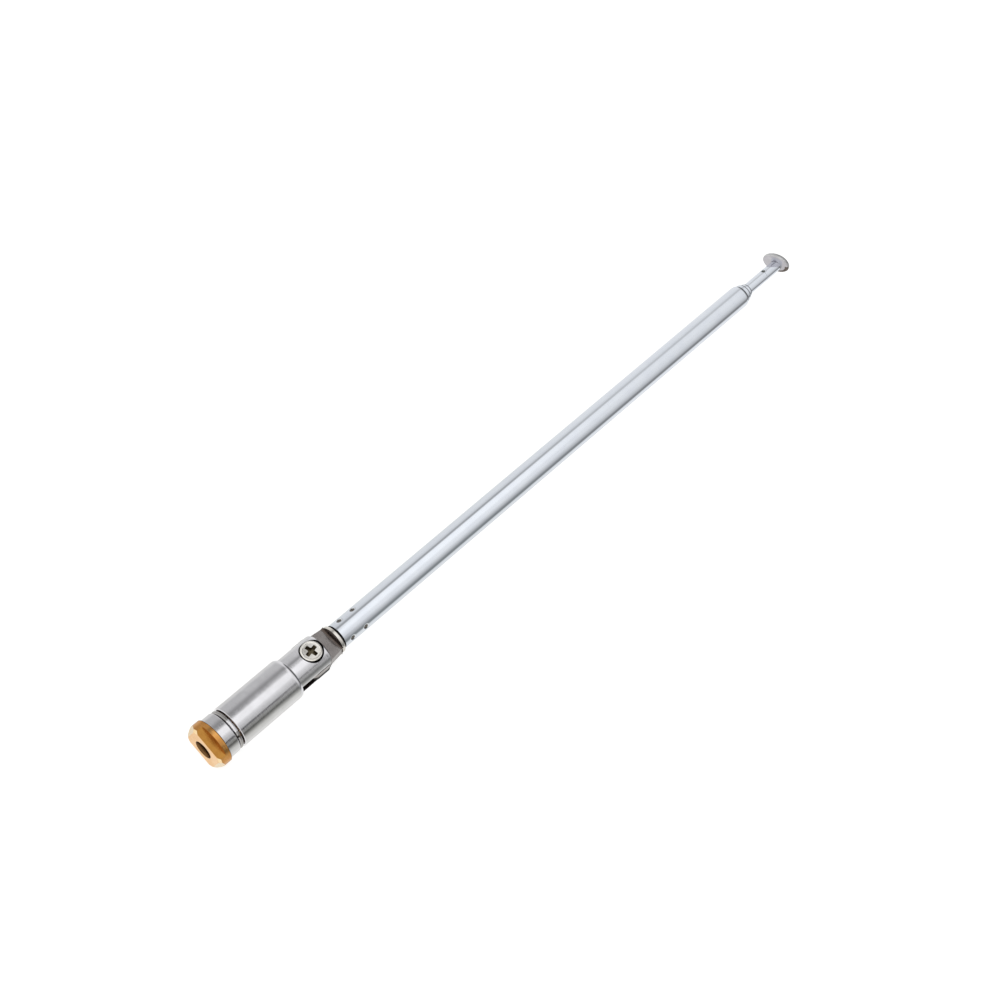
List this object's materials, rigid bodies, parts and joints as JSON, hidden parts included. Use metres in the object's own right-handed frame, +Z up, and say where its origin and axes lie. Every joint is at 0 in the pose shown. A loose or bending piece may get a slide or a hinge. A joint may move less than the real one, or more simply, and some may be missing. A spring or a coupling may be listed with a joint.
{
  "type": "telescopic whip antenna",
  "caption": "Telescopic whip antenna with a threaded swivel base, a folding knuckle and chromed tubes that slide out of one another, ending in a mushroom cap.",
  "frame": {"origin": "middle of the folded antenna's length and width, on the surface that the base flange lies on", "axes": "+X along the antenna from the threaded base to the tip cap, +Z up, antenna lying down"},
  "size_m": [0.2048, 0.0108, 0.0107],
  "materials": {
    "brass": "machined, bare",
    "satin_steel": "turned, satin",
    "nickel": "dull nickel plate on brass",
    "chrome": "bright plate",
    "screw_steel": "nickel plated screw, a little aged",
    "spring_bronze": "bare phosphor bronze"
  },
  "bodies": {
    "mount": {"threaded_insert": "brass", "base_collar": "satin_steel", "swivel_ring": "satin_steel"},
    "sleeve": {"swivel_bush": "brass", "wave_washer": "spring_bronze", "outer_sleeve": "satin_steel", "fork": "satin_steel", "pivot_screw": "screw_steel", "pivot_spring_washer": "spring_bronze"},
    "section_1": {"knuckle": "nickel", "tube_1": "chrome"},
    "section_2": {"tube_2": "chrome", "end_plug_2": "brass", "contact_spring_2": "spring_bronze"},
    "section_3": {"tube_3": "chrome", "end_plug_3": "brass", "contact_spring_3": "spring_bronze"},
    "section_4": {"rod_4": "chrome", "end_plug_4": "brass", "contact_spring_4": "spring_bronze", "tip_cap": "chrome"}
  },
  "joints": [
    {"name": "swivel", "type": "hinge", "parent": "mount", "child": "sleeve", "pos_m": [-0.09519, 0, 0.00535], "axis": [1, 0, 0], "continuous": true},
    {"name": "fold", "type": "hinge", "parent": "sleeve", "child": "section_1", "pos_m": [-0.07204, 0, 0.00535], "axis": [0, -0.2079, 0.9781], "range_deg": [-90, 90]},
    {"name": "extend_2", "type": "slide", "parent": "section_1", "child": "section_2", "axis": [1, 0, 0], "range_m": [0, 0.1266]},
    {"name": "extend_3", "type": "slide", "parent": "section_2", "child": "section_3", "axis": [1, 0, 0], "range_m": [0, 0.1201]},
    {"name": "extend_4", "type": "slide", "parent": "section_3", "child": "section_4", "axis": [1, 0, 0], "range_m": [0, 0.1139]}
  ]
}
